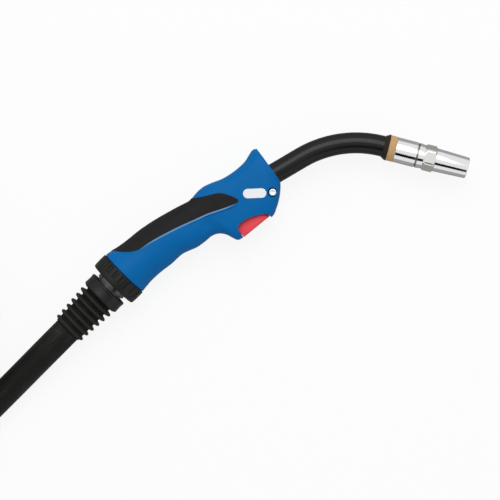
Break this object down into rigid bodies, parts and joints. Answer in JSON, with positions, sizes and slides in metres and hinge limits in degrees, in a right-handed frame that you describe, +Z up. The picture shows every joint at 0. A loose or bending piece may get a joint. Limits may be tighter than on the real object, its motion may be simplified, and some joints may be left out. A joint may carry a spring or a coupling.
{
  "type": "mig welding torch",
  "caption": "Hand-held MIG welding torch: moulded handle with a trigger, curved swan neck with a gas nozzle, and a ball-jointed, coiled cable that ends in a central connector.",
  "frame": {"origin": "bottom centre of the torch from the boot's rear face to the nozzle's mouth, on the surface it lies on", "axes": "+X along the cable's axis at the ball joint, from the boot towards the nozzle; +Y in the bend's plane, towards the back of the hand, away from the trigger; +Z up, at right angles to the bend's plane"},
  "size_m": [0.6845, 0.4508, 0.0524],
  "materials": {
    "blue_shell": "satin moulded polyamide, blue",
    "inlay_rubber": "matt soft grip, near black",
    "trigger_red": "satin, coral red",
    "black_plastic": "matt moulded, black",
    "ball_grey": "satin turned, dark grey",
    "seat_ivory": "low-friction bearing plastic",
    "cable_rubber": "smooth flexible cover, black",
    "core_grey": "bare cable core",
    "strap_black": "woven hook-and-loop strap",
    "neck_black": "insulating sleeve, dark brown-black, faint sheen",
    "insulator_tan": "heat-proof composite, tan",
    "nozzle_chrome": "polished, chrome-plated copper",
    "brass": "turned",
    "copper": "turned copper alloy",
    "steel": "bright zinc",
    "carrier_red": "insulating disc",
    "switch_black": "moulded",
    "lead_insulation": "wire insulation"
  },
  "bodies": {
    "cable": {"ball": "ball_grey", "cable_cuff": "black_plastic", "bend_boot": "cable_rubber", "cable_core_rear": "core_grey", "cable_run": "cable_rubber", "cable_coil": "cable_rubber", "cable_tail": "cable_rubber", "coil_straps": "strap_black", "connector_boot": "cable_rubber", "connector_shell": "black_plastic", "connector_screws": "steel", "plug_body": "brass", "contact_carrier": "carrier_red", "inlet_tube": "brass", "inlet_o_ring": "cable_rubber"},
    "seat": {"ball_seat": "seat_ivory"},
    "torch": {"ring_nut": "black_plastic", "socket_sleeve": "black_plastic", "handle_shell_right": "blue_shell", "handle_shell_left": "blue_shell", "grip_inlay_right": "inlay_rubber", "grip_inlay_left": "inlay_rubber", "shell_screw": "steel", "trigger_pin": "steel", "trigger_spring": "steel", "microswitch": "switch_black", "switch_leads": "lead_insulation", "cable_core_front": "core_grey", "power_fitting": "brass", "neck_socket": "black_plastic", "neck_sleeve": "neck_black", "neck_conductor": "copper", "wire_liner": "steel", "neck_collar": "black_plastic", "nozzle_insulator": "insulator_tan", "gas_nozzle": "nozzle_chrome", "tip_holder": "brass", "contact_tip": "copper"},
    "trigger": {"trigger": "trigger_red"},
    "plunger": {"switch_plunger": "trigger_red"},
    "union": {"union_nut": "black_plastic"},
    "upper_pin": {"control_pin_upper": "brass"},
    "lower_pin": {"control_pin_lower": "brass"}
  },
  "joints": [
    {"name": "cable_tilt", "type": "hinge", "parent": "cable", "child": "seat", "pos_m": [-0.1135, 0.06591, 0.024], "axis": [0, 0, 1], "range_deg": [-12, 12]},
    {"name": "handle_swivel", "type": "hinge", "parent": "seat", "child": "torch", "pos_m": [-0.1135, 0.06591, 0.024], "axis": [1, 0, 0], "range_deg": [-90, 90]},
    {"name": "trigger_press", "type": "hinge", "parent": "torch", "child": "trigger", "pos_m": [0.021, 0.01431, 0.024], "axis": [0, 0, -1], "range_deg": [0, 6], "stiffness_Nm_per_rad": 0.6, "springref_deg": -11.46, "deforming": ["trigger_spring"]},
    {"name": "switch_press", "type": "slide", "parent": "torch", "child": "plunger", "axis": [0, 1, 0], "range_m": [0, 0.0024]},
    {"name": "union_turn", "type": "hinge", "parent": "cable", "child": "union", "pos_m": [-0.1631, 0.33591, 0.025], "axis": [1, 0, 0], "continuous": true},
    {"name": "upper_pin_press", "type": "slide", "parent": "cable", "child": "upper_pin", "axis": [-1, 0, 0], "range_m": [0, 0.003], "stiffness_N_per_m": 600, "springref_m": -0.001},
    {"name": "lower_pin_press", "type": "slide", "parent": "cable", "child": "lower_pin", "axis": [-1, 0, 0], "range_m": [0, 0.003], "stiffness_N_per_m": 600, "springref_m": -0.001}
  ],
  "couplings": [
    {"joint": "switch_press", "follows": "trigger_press", "m_per_rad": 0.0225}
  ]
}
